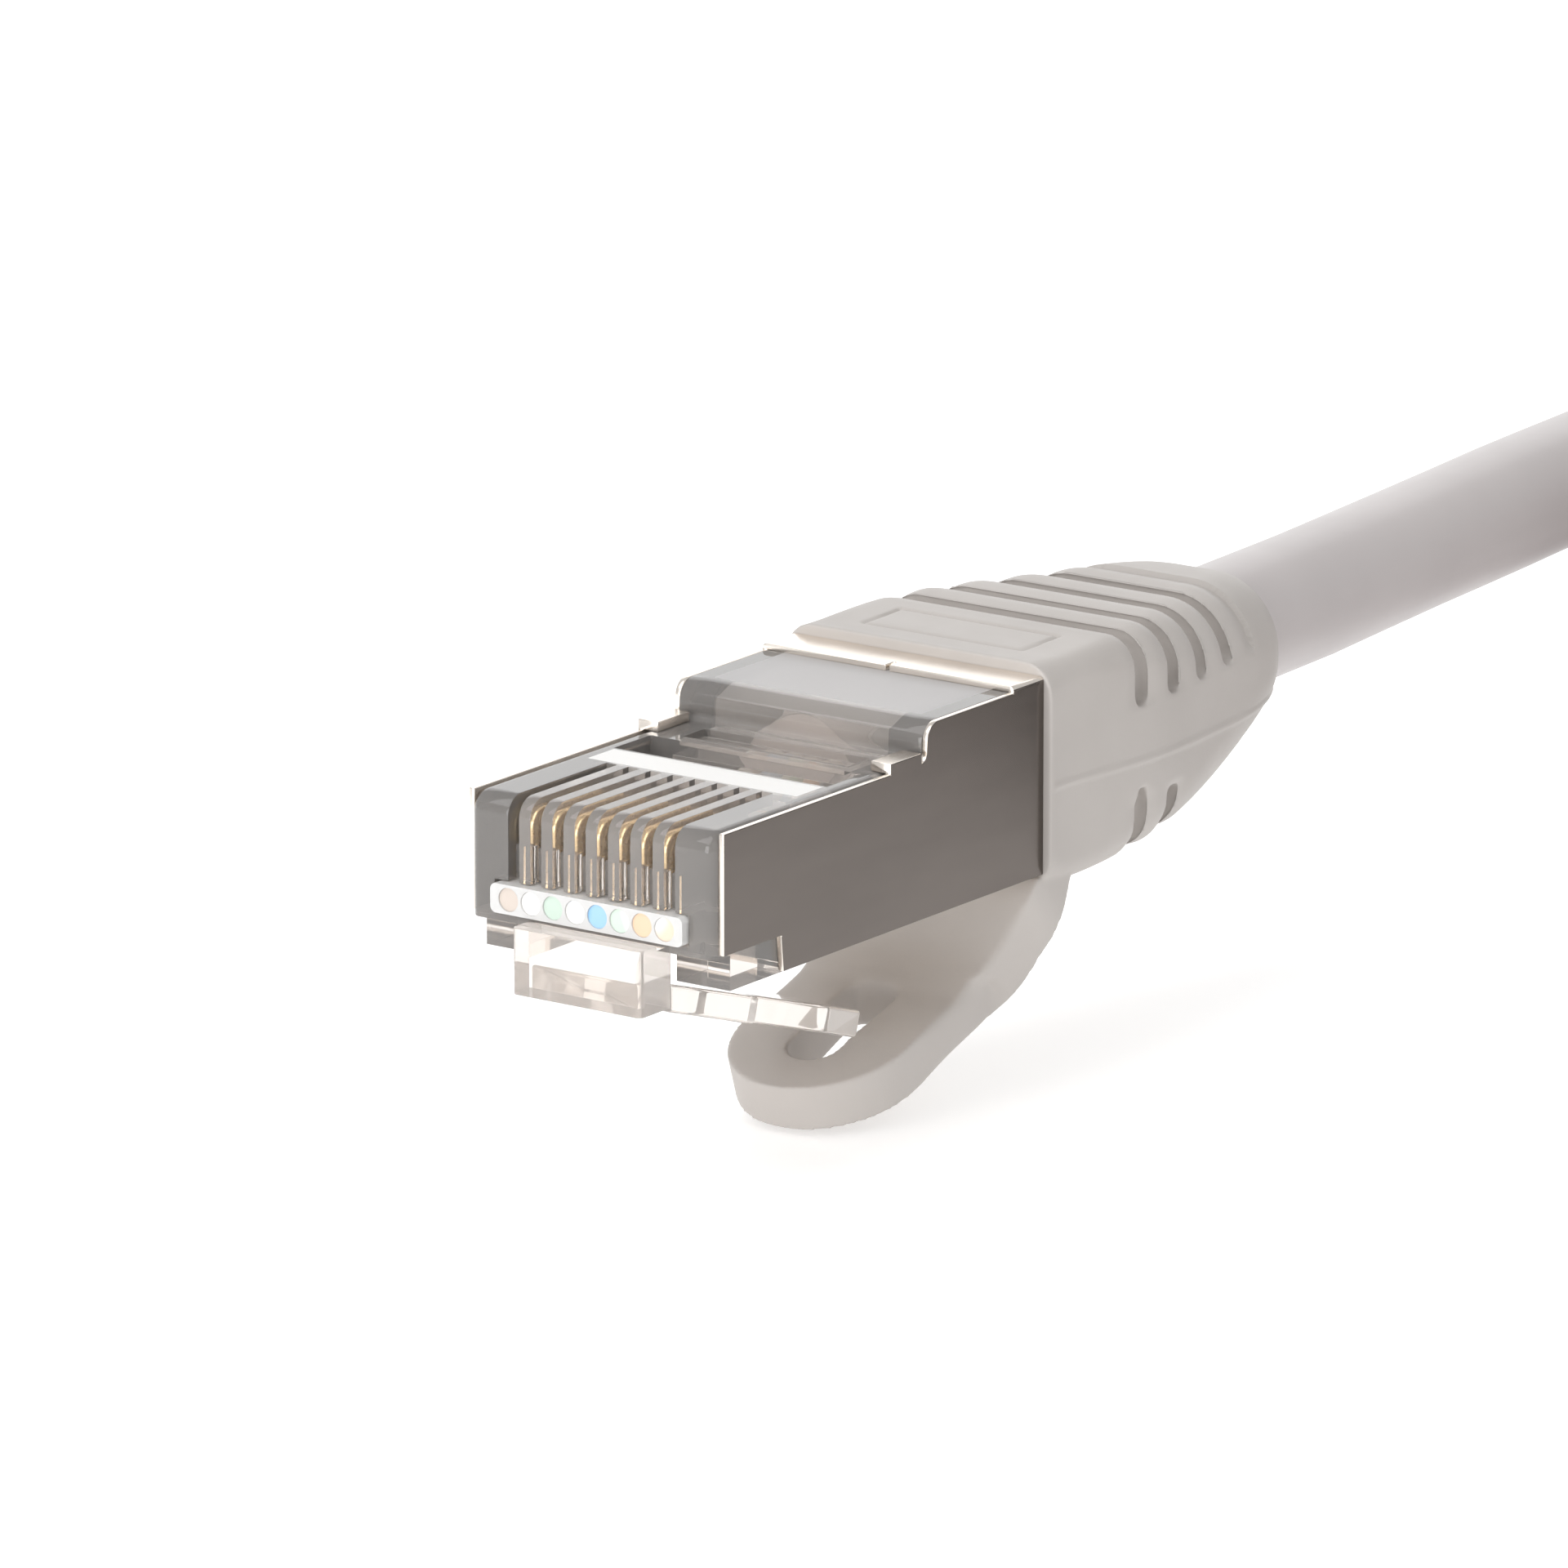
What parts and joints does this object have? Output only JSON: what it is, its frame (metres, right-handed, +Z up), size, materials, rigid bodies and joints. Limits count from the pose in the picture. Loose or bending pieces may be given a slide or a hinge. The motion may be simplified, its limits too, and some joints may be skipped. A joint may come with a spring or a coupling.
{
  "type": "ethernet patch cable",
  "caption": "Shielded network patch lead, coiled and tied, with a modular plug, strain-relief boot and latch guard on each end.",
  "frame": {"origin": "bottom centre of the near plug with its boot, on the surface that the cable lies on", "axes": "+Z up, near plug nose towards -Y, its cable towards +Y, X across the plug"},
  "size_m": [0.0742, 0.1304, 0.0171],
  "materials": {
    "clear_plastic": "clear moulded polycarbonate",
    "nickel_plate": "nickel-plated sheet, lightly brushed",
    "foil": "thin aluminium foil",
    "boot_rubber": "soft moulded PVC, satin",
    "cable_jacket": "extruded PVC jacket, satin",
    "tie": "woven hook-and-loop tape",
    "gold": "gold-plated contact",
    "wire_white_orange": "polyethylene insulation",
    "wire_orange": "polyethylene insulation",
    "wire_white_green": "polyethylene insulation",
    "wire_blue": "polyethylene insulation",
    "wire_white_blue": "polyethylene insulation",
    "wire_green": "polyethylene insulation",
    "wire_white_brown": "polyethylene insulation",
    "wire_brown": "polyethylene insulation"
  },
  "bodies": {
    "root": {"near_housing": "clear_plastic", "near_shield": "nickel_plate", "near_load_bar": "clear_plastic", "near_foil_wrap": "foil", "near_boot": "boot_rubber", "near_contact_1": "gold", "near_contact_2": "gold", "near_contact_3": "gold", "near_contact_4": "gold", "near_contact_5": "gold", "near_contact_6": "gold", "near_contact_7": "gold", "near_contact_8": "gold", "near_wire_1": "wire_white_orange", "near_wire_2": "wire_orange", "near_wire_3": "wire_white_green", "near_wire_4": "wire_blue", "near_wire_5": "wire_white_blue", "near_wire_6": "wire_green", "near_wire_7": "wire_white_brown", "near_wire_8": "wire_brown", "far_housing": "clear_plastic", "far_shield": "nickel_plate", "far_load_bar": "clear_plastic", "far_foil_wrap": "foil", "far_boot": "boot_rubber", "far_contact_1": "gold", "far_contact_2": "gold", "far_contact_3": "gold", "far_contact_4": "gold", "far_contact_5": "gold", "far_contact_6": "gold", "far_contact_7": "gold", "far_contact_8": "gold", "far_wire_1": "wire_white_orange", "far_wire_2": "wire_orange", "far_wire_3": "wire_white_green", "far_wire_4": "wire_blue", "far_wire_5": "wire_white_blue", "far_wire_6": "wire_green", "far_wire_7": "wire_white_brown", "far_wire_8": "wire_brown", "near_lead": "cable_jacket", "far_lead": "cable_jacket", "coil": "cable_jacket", "coil_ties": "tie"},
    "near_latch": {"near_latch": "clear_plastic"},
    "near_guard": {"near_guard": "boot_rubber"},
    "far_latch": {"far_latch": "clear_plastic"},
    "far_guard": {"far_guard": "boot_rubber"}
  },
  "joints": [
    {"name": "near_guard_flex", "type": "hinge", "parent": "root", "child": "near_guard", "pos_m": [0, 0.00009, 0.00364], "axis": [-1, 0, 0], "range_deg": [0, 30], "stiffness_Nm_per_rad": 0.00005, "springref_deg": -8.59},
    {"name": "near_latch_flex", "type": "hinge", "parent": "root", "child": "near_latch", "pos_m": [0, -0.01866, 0.0086], "axis": [1, 0, 0], "range_deg": [0, 11.4]},
    {"name": "far_guard_flex", "type": "hinge", "parent": "root", "child": "far_guard", "pos_m": [0.06024, 0.02734, 0.01343], "axis": [1, 0, 0], "range_deg": [0, 30], "stiffness_Nm_per_rad": 0.00005, "springref_deg": -8.59},
    {"name": "far_latch_flex", "type": "hinge", "parent": "root", "child": "far_latch", "pos_m": [0.06024, 0.00859, 0.00847], "axis": [-1, 0, 0], "range_deg": [0, 11.4]}
  ],
  "couplings": [
    {"joint": "near_latch_flex", "follows": "near_guard_flex", "ratio": 0.38},
    {"joint": "far_latch_flex", "follows": "far_guard_flex", "ratio": 0.38}
  ]
}
